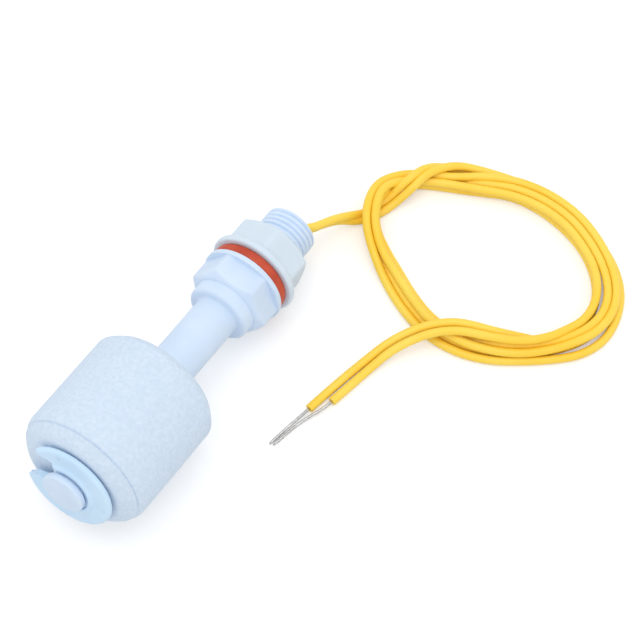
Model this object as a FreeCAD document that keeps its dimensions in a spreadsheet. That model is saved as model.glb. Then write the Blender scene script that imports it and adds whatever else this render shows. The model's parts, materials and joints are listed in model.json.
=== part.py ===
"""Float level switch lying on its side, with its two leads in a loose coil on the same surface.

Lengths are in millimetres and angles in degrees. Each rigid piece is drawn upright on the stem's own axis,
with Z pointing from the float towards the thread, and its Placement then lays it down. In the model's frame
+X runs along the lying stem towards the thread, +Z is up, and the origin is under the middle of the switch
on the surface that carries it.
"""
import FreeCAD, Part
import math
import os
import Sketcher

doc = FreeCAD.newDocument("float_level_switch")
sheet = doc.addObject("Spreadsheet::Sheet", "Sizes")

# Driving dimensions. Places along the stem are counted from the seam of the float, towards the thread.
DIMENSIONS = [
    ("stem_dia", 7.8, "stem tube that the float slides on"),
    ("stem_tail", 4.9, "blind end of the stem, below the seam"),
    ("stem_chamfer", 0.4, "chamfer round the blind end"),
    ("stem_bore", 5.5, "bore that holds the reed switch"),
    ("bore_floor", 2.3, "solid plastic left under the bore"),
    ("shoulder_dia", 11.6, "round shoulder that stops the float"),
    ("shoulder_start", 37.3, "lower face of the shoulder"),
    ("shoulder_length", 2.4, "shoulder up to the body hexagon"),
    ("shoulder_round", 0.7, "rounding of the shoulder's lower edge"),
    ("body_hex_flats", 13.8, "body hexagon across its flats"),
    ("body_hex_length", 5.6, "height of the body hexagon"),
    ("body_hex_turn", 37.1, "angle of the body hexagon's first corner"),
    ("collar_dia", 15.9, "thin round collar that seals on the gasket"),
    ("collar_length", 0.8, "thickness of the collar"),
    ("thread_dia", 9.5, "thread over its crests"),
    ("thread_length", 13.6, "thread from the collar to its end"),
    ("thread_pitch", 1.0, "pitch, which the thread's lead-in chamfer follows"),
    ("float_dia", 23.3, "float"),
    ("float_height", 21.2, "float above the seam"),
    ("float_chamfer", 1.8, "chamfer round the top of the float"),
    ("float_clearance", 0.3, "gap between the float's bore and the stem, all round"),
    ("sleeve_wall", 1.0, "wall between the float's bore and its magnet pocket"),
    ("cap_height", 2.6, "welded cap below the seam"),
    ("cap_dia", 22.9, "cap, a little smaller than the float"),
    ("cap_round", 1.0, "rounding of the cap's lower edge"),
    ("seam_groove", 0.35, "depth and half width of the groove along the seam"),
    ("magnet_dia", 16.0, "ring magnet"),
    ("magnet_height", 5.0, "ring magnet"),
    ("magnet_clearance", 0.05, "gap round the magnet in its pocket"),
    ("clip_dia", 16.5, "retaining clip"),
    ("clip_thickness", 1.1, "retaining clip"),
    ("clip_gap", 0.2, "gap between the clip and the float at rest"),
    ("clip_groove_dia", 6.7, "groove that the clip snaps into"),
    ("clip_play", 0.05, "play of the clip in its groove, all round and on both faces"),
    ("clip_rim_dia", 10.6, "raised rim round the clip's hole"),
    ("clip_rim_height", 0.25, "raised rim round the clip's hole"),
    ("clip_rim_gap", 0.3, "gap between the raised rim and the stem's end"),
    ("clip_round", 0.3, "rounding of the clip's outer edge"),
    ("gasket_dia", 14.8, "sealing gasket"),
    ("gasket_thickness", 1.3, "sealing gasket"),
    ("gasket_clearance", 0.3, "gap between the gasket and the thread"),
    ("gasket_round", 0.35, "rounding of the gasket's outer edges"),
    ("nut_flange_dia", 15.9, "round flange of the nut"),
    ("nut_flange_height", 2.1, "round flange of the nut"),
    ("nut_flats", 12.8, "nut across its flats"),
    ("nut_height", 7.5, "nut with its flange"),
    ("nut_turn", 10.0, "angle of the nut's first corner"),
    ("nut_chamfer", 0.6, "chamfer at the top of the nut's corners"),
    ("nut_clearance", 0.05, "gap between the nut's bore and the thread"),
    ("plug_height", 9.0, "sealing compound round the leads"),
    ("plug_recess", 0.6, "depth of the compound's face inside the thread end"),
    ("lead_dia", 1.5, "insulated lead"),
    ("lead_offset", 0.85, "from the stem's axis to either lead"),
    ("bare_dia", 0.5, "stripped and tinned end of a lead"),
    ("reed_start", 4.4, "lower end of the reed switch's glass"),
    ("reed_length", 14.0, "reed switch's glass"),
    ("reed_dia", 2.2, "reed switch's glass"),
    ("reed_wall", 0.3, "reed switch's glass"),
    ("reed_seal", 2.0, "solid glass at either end of the reed switch"),
    ("reed_neck", 0.7, "radius of the glass where a blade enters it"),
    ("blade_shank_dia", 0.5, "round end of a reed blade"),
    ("blade_shank_out", 2.0, "round end of a reed blade outside the glass"),
    ("blade_width", 1.0, "flat part of a reed blade"),
    ("blade_thickness", 0.2, "flat part of a reed blade"),
    ("blade_overlap", 1.0, "overlap of the two blades"),
    ("blade_gap", 0.1, "open contact gap between the blades"),
    ("return_dia", 0.5, "wire back up from the lower blade"),
    ("sleeve_dia", 1.0, "insulating sleeve on the return wire"),
    ("sleeve_clearance", 0.05, "gap between that sleeve and the wire"),
    ("solder_dia", 0.9, "solder joint"),
    ("solder_length", 1.6, "solder joint"),
    ("coil_long", 44.0, "coil, middle of the bundle, long way"),
    ("coil_short", 30.6, "coil, middle of the bundle, short way"),
    ("coil_width", 5.4, "bundle of the coil, across"),
    ("coil_height", 4.4, "bundle of the coil, above the surface"),
    ("coil_bevel", 1.3, "bevel along the bundle's upper edges"),
]


class Size:
    """A length that carries its number and the sheet expression that drives it."""

    def __init__(self, value, text):
        self.value = value
        self.text = text

    def joined(self, sign, other, value):
        return Size(value, "(%s %s %s)" % (self.text, sign, other.text))

    def __add__(self, other):
        other = plain(other)
        return self.joined("+", other, self.value + other.value)

    def __sub__(self, other):
        other = plain(other)
        return self.joined("-", other, self.value - other.value)

    def __mul__(self, other):
        other = plain(other)
        return self.joined("*", other, self.value * other.value)

    def __truediv__(self, other):
        other = plain(other)
        return self.joined("/", other, self.value / other.value)

    def __neg__(self):
        return Size(-self.value, "(0 - %s)" % self.text)


def plain(number):
    """A bare number as a Size; a Size stays as it is."""
    if isinstance(number, Size):
        return number
    return Size(float(number), repr(float(number)))


def write_sheet():
    """Fills the sheet and returns its sizes by name."""
    sizes = {}
    for row, (name, value, meaning) in enumerate(DIMENSIONS, 1):
        sheet.set("A%d" % row, meaning)
        sheet.set("B%d" % row, str(value))
        sheet.setAlias("B%d" % row, name)
        sizes[name] = Size(value, "Sizes.%s" % name)
    doc.recompute()
    return sizes


size = write_sheet()

# Sizes that follow from the driving ones.
stem_radius = size["stem_dia"] / 2
stem_end = -size["stem_tail"]
bore_radius = size["stem_bore"] / 2
bore_start = stem_end + size["bore_floor"]
shoulder_start = size["shoulder_start"]
hex_start = shoulder_start + size["shoulder_length"]
collar_start = hex_start + size["body_hex_length"]
sealing_face = collar_start + size["collar_length"]
thread_radius = size["thread_dia"] / 2
thread_end = sealing_face + size["thread_length"]
thread_chamfer = size["thread_pitch"] * 0.5
nut_seat = sealing_face + size["gasket_thickness"]
cap_start = -size["cap_height"]
clip_back = cap_start - size["clip_gap"]
clip_front = clip_back - size["clip_thickness"]
clip_hole = size["clip_groove_dia"] / 2 + size["clip_play"]
float_radius = size["float_dia"] / 2
float_bore = stem_radius + size["float_clearance"]
float_rim = size["float_height"] - size["float_chamfer"]
pocket_inner = float_bore + size["sleeve_wall"]
pocket_outer = size["magnet_dia"] / 2 + size["magnet_clearance"]
pocket_top = size["magnet_height"] + size["magnet_clearance"]
lead_radius = size["lead_dia"] / 2
blade_shank = size["blade_shank_dia"] / 2
reed_end = size["reed_start"] + size["reed_length"]
upper_solder = reed_end + size["blade_shank_out"]
lead_start = upper_solder + size["solder_length"]
lower_solder = size["reed_start"] - size["blade_shank_out"]
plug_start = thread_end - size["plug_recess"] - size["plug_height"]
plug_end = thread_end - size["plug_recess"]

# The switch lies on the rim of its float and on the rim or a corner of its nut, whichever touches first.
nut_corner = size["nut_flats"] / math.sqrt(3)
flange_edge = nut_seat + size["nut_flange_height"]
corner_end = nut_seat + size["nut_height"] - size["nut_chamfer"]
supports = [(size["nut_flange_dia"] / 2, flange_edge), (nut_corner, corner_end)]


def leaning(radius, along):
    """Angle of the stem when the float's rim and a rim of this radius touch the same surface."""
    return math.atan2(float_radius.value - radius.value, along.value - float_rim.value)


lean = min(leaning(radius, along) for radius, along in supports)
sine = math.sin(lean)
cosine = math.cos(lean)
seam_height = float_radius.value * cosine + float_rim.value * sine
tail_reach = stem_end.value * cosine - (stem_radius - size["stem_chamfer"]).value * sine
thread_reach = thread_end.value * cosine + (thread_radius - thread_chamfer).value * sine
SEAM = FreeCAD.Vector(-(tail_reach + thread_reach) / 2, 0, seam_height)
STEM = FreeCAD.Vector(cosine, 0, -sine)
OVERHEAD = FreeCAD.Vector(sine, 0, cosine)
LYING = FreeCAD.Rotation(FreeCAD.Vector(0, 1, 0), 90 + math.degrees(lean))


def on_stem(along, above=0.0):
    """Point of the lying switch, by its place along the stem and its distance above the stem's axis."""
    return SEAM + STEM * along + OVERHEAD * above


def lay(piece, along=plain(0), above=plain(0)):
    """Lays a piece down, with its own origin at this place along the stem."""
    piece.Placement = FreeCAD.Placement(on_stem(along.value, above.value), LYING)
    return piece


def new_body(label):
    body = doc.addObject("PartDesign::Body", label)
    body.Label = label
    return body


def new_sketch(body, name, role, height=None):
    """Sketch on one of the body's origin planes, lifted along the plane's normal if height is given."""
    sketch = body.newObject("Sketcher::SketchObject", name)
    plane = next(item for item in body.Origin.OriginFeatures if item.Role == role)
    sketch.AttachmentSupport = [(plane, "")]
    sketch.MapMode = "FlatFace"
    if height is not None:
        sketch.setExpression("AttachmentOffset.Base.z", height.text)
    return sketch


def bind(sketch, kind, *details):
    """Adds a dimension to a sketch and ties it to the sheet. The last detail is the Size."""
    target = details[-1]
    constraint = Sketcher.Constraint(kind, *details[:-1], target.value)
    index = sketch.addConstraint(constraint)
    sketch.setExpression("Constraints[%d]" % index, target.text)


def draw_outline(sketch, corners):
    """Closed outline of straight lines, each corner placed by two Sizes from the sketch's origin."""
    points = [FreeCAD.Vector(x.value, y.value, 0) for x, y in corners]
    lines = [Part.LineSegment(start, end) for start, end in zip(points, points[1:] + points[:1])]
    first = sketch.GeometryCount
    sketch.addGeometry(lines, False)
    for index, (x, y) in enumerate(corners, first):
        following = first + (index - first + 1) % len(corners)
        sketch.addConstraint(Sketcher.Constraint("Coincident", index, 2, following, 1))
        bind(sketch, "DistanceX", -1, 1, index, 1, x)
        bind(sketch, "DistanceY", -1, 1, index, 1, y)


def draw_circle(sketch, radius):
    """Circle round the sketch's origin."""
    circle = Part.Circle(FreeCAD.Vector(0, 0, 0), FreeCAD.Vector(0, 0, 1), radius.value)
    index = sketch.addGeometry(circle, False)
    sketch.addConstraint(Sketcher.Constraint("Coincident", index, 3, -1, 1))
    bind(sketch, "Radius", index, radius)


def hexagon(flats, first_angle):
    """Corners of a hexagon by its size across the flats and the angle of its first corner."""
    reach = flats / math.sqrt(3)
    corners = []
    for step in range(6):
        angle = first_angle + 60 * step
        across = Size(math.cos(math.radians(angle.value)), "cos(%s)" % angle.text)
        upward = Size(math.sin(math.radians(angle.value)), "sin(%s)" % angle.text)
        corners.append((reach * across, reach * upward))
    return corners


def turn(body, name, corners, kind="PartDesign::Revolution"):
    """Turns an outline of (radius, place along the axis) corners round the body's Z axis."""
    sketch = new_sketch(body, name + "_profile", "XZ_Plane")
    draw_outline(sketch, corners)
    feature = body.newObject(kind, name)
    feature.Profile = sketch
    feature.ReferenceAxis = (sketch, ["V_Axis"])
    feature.Angle = 360
    sketch.Visibility = False
    doc.recompute()
    return feature


def pad(body, name, sketch, length):
    feature = body.newObject("PartDesign::Pad", name)
    feature.Profile = sketch
    feature.setExpression("Length", length.text)
    doc.recompute()
    return feature


def circles(feature, radius, height):
    """Names of a feature's full circles of this radius at this height."""
    names = []
    for number, edge in enumerate(feature.Shape.Edges, 1):
        curve = edge.Curve
        if not isinstance(curve, Part.Circle):
            continue
        if abs(curve.Radius - radius.value) < 1e-4 and abs(curve.Center.z - height.value) < 1e-4:
            names.append("Edge%d" % number)
    return names


def dress(body, kind, name, base, edges, amount):
    """Fillet or chamfer of a body's edges."""
    feature = body.newObject("PartDesign::" + kind, name)
    feature.Base = (base, edges)
    feature.setExpression("Radius" if kind == "Fillet" else "Size", amount.text)
    doc.recompute()
    return feature


def make_stem_body():
    """Moulded stem, shoulder, hexagon, collar and thread: one piece, bored from the thread end."""
    body = new_body("stem_body")
    chamfer = size["stem_chamfer"]
    shoulder = size["shoulder_dia"] / 2
    collar = size["collar_dia"] / 2
    blank = turn(body, "stem_blank", [
        (plain(0), stem_end),
        (stem_radius - chamfer, stem_end),
        (stem_radius, stem_end + chamfer),
        (stem_radius, shoulder_start),
        (shoulder, shoulder_start),
        (shoulder, collar_start),
        (collar, collar_start),
        (collar, sealing_face),
        (thread_radius, sealing_face),
        (thread_radius, thread_end - thread_chamfer),
        (thread_radius - thread_chamfer, thread_end),
        (plain(0), thread_end),
    ])
    edge = circles(blank, shoulder, shoulder_start)
    dress(body, "Fillet", "shoulder_rounding", blank, edge, size["shoulder_round"])
    flats = new_sketch(body, "body_hexagon_outline", "XY_Plane", hex_start)
    draw_outline(flats, hexagon(size["body_hex_flats"], size["body_hex_turn"]))
    pad(body, "body_hexagon", flats, size["body_hex_length"])
    groove = size["clip_groove_dia"] / 2
    turn(body, "clip_groove", [
        (groove, clip_front - size["clip_play"]),
        (stem_radius + 1, clip_front - size["clip_play"]),
        (stem_radius + 1, clip_back + size["clip_play"]),
        (groove, clip_back + size["clip_play"]),
    ], "PartDesign::Groove")
    turn(body, "reed_bore", [
        (plain(0), bore_start),
        (bore_radius, bore_start),
        (bore_radius, thread_end + 1),
        (plain(0), thread_end + 1),
    ], "PartDesign::Groove")
    return lay(body)


def make_float_shell():
    """Foamed float with a pocket for the ring magnet, open at the seam."""
    body = new_body("float_shell")
    groove = size["seam_groove"]
    turn(body, "float_form", [
        (float_bore, plain(0)),
        (pocket_inner, plain(0)),
        (pocket_inner, pocket_top),
        (pocket_outer, pocket_top),
        (pocket_outer, plain(0)),
        (float_radius - groove, plain(0)),
        (float_radius, groove),
        (float_radius, float_rim),
        (float_radius - size["float_chamfer"], size["float_height"]),
        (float_bore, size["float_height"]),
    ])
    return lay(body)


def make_float_cap():
    """Disc welded on below the seam, which shuts the magnet's pocket."""
    body = new_body("float_cap")
    radius = size["cap_dia"] / 2
    groove = size["seam_groove"]
    form = turn(body, "cap_form", [
        (float_bore, cap_start),
        (radius, cap_start),
        (radius, -groove),
        (radius - groove, plain(0)),
        (float_bore, plain(0)),
    ])
    edge = circles(form, radius, cap_start)
    dress(body, "Fillet", "cap_rounding", form, edge, size["cap_round"])
    return lay(body)


def make_float_magnet():
    """Ring magnet in the float's pocket."""
    outside = doc.addObject("Part::Cylinder", "magnet_blank")
    outside.setExpression("Radius", (size["magnet_dia"] / 2).text)
    outside.setExpression("Height", size["magnet_height"].text)
    inside = doc.addObject("Part::Cylinder", "magnet_hole")
    inside.setExpression("Radius", (pocket_inner + size["magnet_clearance"]).text)
    inside.setExpression("Height", size["magnet_height"].text)
    return lay(cut("float_magnet", outside, inside))


def cut(label, base, tool):
    result = doc.addObject("Part::Cut", label)
    result.Base = base
    result.Tool = tool
    result.Label = label
    return result


def make_retaining_clip():
    """Open ring snapped into the groove at the stem's end, its gap widening outwards."""
    body = new_body("retaining_clip")
    ring = new_sketch(body, "clip_ring", "XY_Plane", clip_front)
    draw_circle(ring, size["clip_dia"] / 2)
    draw_circle(ring, clip_hole)
    plate = pad(body, "clip_plate", ring, size["clip_thickness"])
    edge = circles(plate, size["clip_dia"] / 2, clip_front)
    dress(body, "Fillet", "clip_rounding", plate, edge, size["clip_round"])
    rim = new_sketch(body, "clip_rim_ring", "XY_Plane", clip_front - size["clip_rim_height"])
    draw_circle(rim, size["clip_rim_dia"] / 2)
    draw_circle(rim, stem_radius + size["clip_rim_gap"])
    pad(body, "clip_rim", rim, size["clip_rim_height"])
    slot = new_sketch(body, "clip_slot", "XY_Plane", clip_front - 1)
    outline = [(-0.25, 2.5), (-0.3, 4.3), (-3.2, 4.9), (-4.6, 6.4), (-4.6, 9.5), (2.7, 9.5), (2.7, 7.8),
               (1.2, 7.0), (0.5, 5.6), (0.2, 4.3), (0.25, 2.5)]
    draw_outline(slot, [(plain(x), plain(y)) for x, y in outline])
    gap = body.newObject("PartDesign::Pocket", "clip_gap")
    gap.Profile = slot
    gap.Reversed = True
    gap.setExpression("Length", (size["clip_thickness"] + 2).text)
    doc.recompute()
    return lay(body)


def make_sealing_gasket():
    """Flat silicone ring between the collar and the nut."""
    body = new_body("sealing_gasket")
    outer = size["gasket_dia"] / 2
    inner = thread_radius + size["gasket_clearance"]
    form = turn(body, "gasket_form", [
        (inner, plain(0)),
        (outer, plain(0)),
        (outer, size["gasket_thickness"]),
        (inner, size["gasket_thickness"]),
    ])
    edges = circles(form, outer, plain(0)) + circles(form, outer, size["gasket_thickness"])
    dress(body, "Fillet", "gasket_rounding", form, edges, size["gasket_round"])
    return lay(body, sealing_face)


def make_mounting_nut():
    """Hexagon nut moulded with a round flange."""
    body = new_body("mounting_nut")
    bore = thread_radius + size["nut_clearance"]
    flange = size["nut_flange_dia"] / 2
    flange_height = size["nut_flange_height"]
    height = size["nut_height"]
    turn(body, "nut_flange", [
        (bore, plain(0)),
        (flange - 0.2, plain(0)),
        (flange, plain(0.2)),
        (flange, flange_height),
        (bore, flange_height),
    ])
    sides = new_sketch(body, "nut_hexagon_outline", "XY_Plane", flange_height)
    draw_outline(sides, hexagon(size["nut_flats"], size["nut_turn"]))
    draw_circle(sides, bore)
    pad(body, "nut_hexagon", sides, height - flange_height)
    corner = size["nut_flats"] / math.sqrt(3)
    chamfer = size["nut_chamfer"]
    turn(body, "nut_crown", [
        (corner, height - chamfer),
        (corner + 1, height - chamfer),
        (corner + 1, height + 1),
        (corner - chamfer, height + 1),
        (corner - chamfer, height),
    ], "PartDesign::Groove")
    return lay(body, nut_seat)


def make_potting_plug():
    """Sealing compound in the thread end, cast round the two leads."""
    body = new_body("potting_plug")
    face = new_sketch(body, "plug_outline", "XY_Plane", plug_start)
    draw_circle(face, bore_radius)
    plug = pad(body, "plug", face, size["plug_height"])
    holes = new_sketch(body, "lead_holes_outline", "XY_Plane", plug_end)
    for side in (-1, 1):
        centre = FreeCAD.Vector(side * size["lead_offset"].value, 0, 0)
        index = holes.addGeometry(Part.Circle(centre, FreeCAD.Vector(0, 0, 1), lead_radius.value), False)
        bind(holes, "Radius", index, lead_radius)
        bind(holes, "DistanceX", -1, 1, index, 3, size["lead_offset"] * side)
        bind(holes, "DistanceY", -1, 1, index, 3, plain(0))
    gap = body.newObject("PartDesign::Pocket", "lead_holes")
    gap.Profile = holes
    gap.setExpression("Length", size["plug_height"].text)
    doc.recompute()
    return lay(body)


def make_reed_glass():
    """Sealed glass tube of the reed switch, open only where the two blades pass its ends."""
    body = new_body("reed_glass")
    outer = size["reed_dia"] / 2
    cavity = outer - size["reed_wall"]
    length = size["reed_length"]
    seal = size["reed_seal"]
    neck = size["reed_neck"]
    turn(body, "glass_form", [
        (blade_shank, plain(0)),
        (neck, plain(0)),
        (outer, seal * 0.6),
        (outer, length - seal * 0.6),
        (neck, length),
        (blade_shank, length),
        (blade_shank, length - seal),
        (cavity, length - seal - 0.4),
        (cavity, seal + 0.4),
        (blade_shank, seal),
    ])
    return lay(body, size["reed_start"], size["lead_offset"])


def cylinder(label, radius, length, base=None):
    piece = doc.addObject("Part::Cylinder", label)
    piece.setExpression("Radius", radius.text)
    piece.setExpression("Height", length.text)
    if base is not None:
        piece.setExpression("Placement.Base.z", base.text)
    piece.Label = label
    return piece


def make_reed_blade(label, upper):
    """Magnetic blade: a round shank through the glass and a flat tongue that overlaps the other one."""
    shank_length = size["blade_shank_out"] + size["reed_seal"]
    reach = (size["reed_length"] + size["blade_overlap"]) / 2 - size["reed_seal"]
    shank = cylinder(label + "_shank", blade_shank, shank_length)
    tongue = doc.addObject("Part::Box", label + "_tongue")
    tongue.setExpression("Length", size["blade_width"].text)
    tongue.setExpression("Width", size["blade_thickness"].text)
    tongue.setExpression("Height", reach.text)
    tongue.setExpression("Placement.Base.x", (-size["blade_width"] / 2).text)
    side = size["blade_gap"] / 2 if upper else -size["blade_gap"] / 2 - size["blade_thickness"]
    tongue.setExpression("Placement.Base.y", side.text)
    if upper:
        shank.setExpression("Placement.Base.z", reach.text)
    else:
        tongue.setExpression("Placement.Base.z", shank_length.text)
    blade = doc.addObject("Part::Fuse", label)
    blade.Base = shank
    blade.Tool = tongue
    blade.Label = label
    start = reed_end - size["reed_seal"] - reach if upper else lower_solder
    return lay(blade, start, size["lead_offset"])


def make_solder_joint(label, along, above):
    """Barrel of solder that joins two wires end to end."""
    joint = cylinder(label, size["solder_dia"] / 2, size["solder_length"])
    return lay(joint, along, above)


def make_return_wire():
    """Wire from the lower solder joint, round a bend and straight back up to the other lead."""
    below = lower_solder - size["solder_length"]
    bend = size["lead_offset"]
    radius = size["return_dia"].value / 2
    start = FreeCAD.Vector(0, 0, below.value)
    bottom = FreeCAD.Vector(bend.value, 0, below.value - bend.value)
    rise = FreeCAD.Vector(2 * bend.value, 0, below.value)
    top = FreeCAD.Vector(2 * bend.value, 0, upper_solder.value)
    path = Part.Wire([Part.Arc(start, bottom, rise).toShape(), Part.LineSegment(rise, top).toShape()])
    section = Part.Wire([Part.Circle(start, FreeCAD.Vector(0, 0, 1), radius).toShape()])
    wire = doc.addObject("Part::Feature", "reed_return_wire")
    wire.Shape = path.makePipeShell([section], True, False)
    wire.Label = "reed_return_wire"
    return lay(wire, plain(0), size["lead_offset"])


def make_insulating_sleeve():
    """Sleeve on the straight part of the return wire, beside the glass."""
    length = upper_solder - size["reed_start"]
    inside = cylinder("sleeve_hole", size["return_dia"] / 2 + size["sleeve_clearance"], length)
    outside = cylinder("sleeve_blank", size["sleeve_dia"] / 2, length)
    return lay(cut("insulating_sleeve", outside, inside), size["reed_start"], -size["lead_offset"])


def make_inner_lead(label, above):
    """Straight stretch of a lead inside the thread, up to the thread's end face."""
    return lay(cylinder(label, lead_radius, thread_end - lead_start), lead_start, above)


def rounded_path(label, route):
    """Straight runs joined by tangent arcs, each as large as the two runs beside it allow."""
    edges = []
    previous = route[0]
    for before, corner, after in zip(route, route[1:], route[2:]):
        incoming = corner - before
        outgoing = after - corner
        half_turn = incoming.getAngle(outgoing) / 2
        setback = 0.45 * min(incoming.Length, outgoing.Length)
        radius = setback / math.tan(half_turn)
        incoming.normalize()
        outgoing.normalize()
        start = corner - incoming * setback
        end = corner + outgoing * setback
        inward = outgoing - incoming
        inward.normalize()
        middle = corner + inward * (radius / math.cos(half_turn) - radius)
        edges.append(Part.LineSegment(previous, start).toShape())
        edges.append(Part.Arc(start, middle, end).toShape())
        previous = end
        print("%s: turn %.0f degrees, radius %.1f mm" % (label, 2 * math.degrees(half_turn), radius))
    edges.append(Part.LineSegment(previous, route[-1]).toShape())
    return Part.Wire(edges)


def make_tube(label, route, radius):
    """Round cord along a route of hand-chosen points."""
    path = rounded_path(label, route)
    section = Part.Wire([Part.Circle(route[0], route[1] - route[0], radius).toShape()])
    tube = doc.addObject("Part::Feature", label)
    tube.Shape = path.makePipeShell([section], True, False)
    tube.Label = label
    expected = math.pi * radius ** 2 * path.Length
    print("%s: length %.1f mm, volume %.2f of %.2f" % (label, path.Length, tube.Shape.Volume, expected))
    return tube


# Routes of the leads, from the thread end to the coil and from the coil to the stripped ends.
# They are counted from the point on the surface below the seam's centre.
LEAD_EXIT = 2.0
EXIT_ROUTES = {
    "lead_a_exit": [(62.9, -2.7, 6.9), (66.6, -5.2, 5.2), (70.7, -7.4, 3.3)],
    "lead_b_exit": [(63.3, -2.1, 5.3), (67.1, -4.7, 3.6), (71.3, -6.9, 1.8)],
}
TAIL_ROUTES = {
    "lead_a_tail": [(60.3, -31.2, 2.7), (56.9, -27.8, 3.1), (52.5, -24.5, 1.8), (47.2, -22.8, 0.9),
                    (41.1, -21.3, 0.8), (34.9, -20.1, 0.8)],
    "lead_b_tail": [(58.8, -32.0, 3.5), (55.6, -28.8, 3.9), (51.3, -25.8, 2.4), (46.9, -24.4, 1.1),
                    (42.3, -23.4, 0.8), (38.1, -22.5, 0.8)],
}
BARE_ROUTES = {
    "conductor_tip_a": [(34.9, -20.1, 0.8), (32.0, -19.54, 0.8), (28.9, -18.7, 0.4), (26.0, -18.2, 0.3)],
    "conductor_tip_b": [(38.1, -22.5, 0.8), (36.2, -22.09, 0.8), (33.2, -20.6, 0.5), (29.7, -19.5, 0.3),
                        (26.2, -18.85, 0.3)],
}
COIL_CENTRE = (75.0, -30.0, 0.0)


def below_seam(points):
    """Points counted from below the seam's centre, in the model's frame."""
    foot = FreeCAD.Vector(SEAM.x, 0, 0)
    return [foot + FreeCAD.Vector(*point) for point in points]


def make_leads():
    """Leads outside the switch: exit tubes, tails and stripped ends."""
    for label, points in EXIT_ROUTES.items():
        above = size["lead_offset"].value if label == "lead_a_exit" else -size["lead_offset"].value
        straight = [on_stem(thread_end.value + out, above) for out in (0, LEAD_EXIT)]
        make_tube(label, straight + below_seam(points), lead_radius.value)
    for label, points in TAIL_ROUTES.items():
        make_tube(label, below_seam(points), lead_radius.value)
    for label, points in BARE_ROUTES.items():
        make_tube(label, below_seam(points), size["bare_dia"].value / 2)


def ellipse_block(name, long_radius, short_radius):
    """Upright oval block of the coil's height, its long way along the ellipse's own X axis."""
    outline = doc.addObject("Part::Ellipse", name + "_outline")
    outline.setExpression("MajorRadius", long_radius.text)
    outline.setExpression("MinorRadius", short_radius.text)
    block = doc.addObject("Part::Extrusion", name)
    block.Base = outline
    block.DirMode = "Custom"
    block.Dir = FreeCAD.Vector(0, 0, 1)
    block.setExpression("LengthFwd", size["coil_height"].text)
    block.Solid = True
    return block


def make_lead_coil():
    """Outer shape of the coiled leads: an oval ring on the surface."""
    half = size["coil_width"] / 2
    long_radius = size["coil_long"] / 2
    short_radius = size["coil_short"] / 2
    outside = ellipse_block("coil_outside", long_radius + half, short_radius + half)
    inside = ellipse_block("coil_inside", long_radius - half, short_radius - half)
    ring = cut("coil_ring", outside, inside)
    doc.recompute()
    coil = doc.addObject("Part::Chamfer", "lead_coil")
    coil.Base = ring
    bevel = size["coil_bevel"].value
    top = size["coil_height"].value
    coil.Edges = [(number, bevel, bevel) for number, edge in enumerate(ring.Shape.Edges, 1)
                  if abs(edge.BoundBox.ZMin - top) < 1e-6]
    coil.Label = "lead_coil"
    centre = below_seam([COIL_CENTRE])[0]
    coil.Placement = FreeCAD.Placement(centre, FreeCAD.Rotation(FreeCAD.Vector(0, 0, 1), 90))
    return coil


def make_inside_of_stem():
    """Reed switch, its wiring and the sealed-in ends of the leads."""
    above = size["lead_offset"]
    make_reed_glass()
    make_reed_blade("reed_blade_upper", True)
    make_reed_blade("reed_blade_lower", False)
    make_solder_joint("solder_joint_upper", upper_solder, above)
    make_solder_joint("solder_joint_lower", lower_solder - size["solder_length"], above)
    make_solder_joint("solder_joint_return", upper_solder, -above)
    make_return_wire()
    make_insulating_sleeve()
    make_inner_lead("lead_a_inner", above)
    make_inner_lead("lead_b_inner", -above)
    make_potting_plug()


NODES = [
    "stem_body", "float_shell", "float_cap", "float_magnet", "retaining_clip", "sealing_gasket",
    "mounting_nut", "potting_plug", "reed_glass", "reed_blade_upper", "reed_blade_lower",
    "solder_joint_upper", "solder_joint_lower", "solder_joint_return", "reed_return_wire",
    "insulating_sleeve", "lead_a_inner", "lead_b_inner", "lead_a_exit", "lead_b_exit", "lead_coil",
    "lead_a_tail", "lead_b_tail", "conductor_tip_a", "conductor_tip_b",
]


def check_document():
    """Stops the build if any object failed or any piece is empty or broken."""
    for item in doc.Objects:
        faults = {"Invalid", "Error"} & set(item.State)
        if faults:
            raise RuntimeError("%s is %s" % (item.Label, ", ".join(sorted(faults))))
    for label in NODES:
        shape = piece(label).Shape
        if shape.isNull() or not shape.isValid() or not shape.Solids:
            raise RuntimeError("%s has no valid solid" % label)


def piece(label):
    return doc.getObjectsByLabel(label)[0]


def write_parts():
    os.makedirs("parts", exist_ok=True)
    for label in NODES:
        piece(label).Shape.exportStep("parts/%s.step" % label)


make_stem_body()
make_float_shell()
make_float_cap()
make_float_magnet()
make_retaining_clip()
make_sealing_gasket()
make_mounting_nut()
make_inside_of_stem()
make_leads()
make_lead_coil()
doc.recompute()
check_document()
write_parts()
print("lean %.3f degrees, seam at %s" % (math.degrees(lean), SEAM))
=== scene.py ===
"""Looks of the float level switch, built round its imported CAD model.

Everything is in metres in the model's frame. Sizes in the tables below are in millimetres and are
turned into metres by MM. Places along the stem are counted from the float's seam, towards the thread.
"""
import json
import math

import bmesh
import bpy
from mathutils import Matrix, Vector


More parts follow.
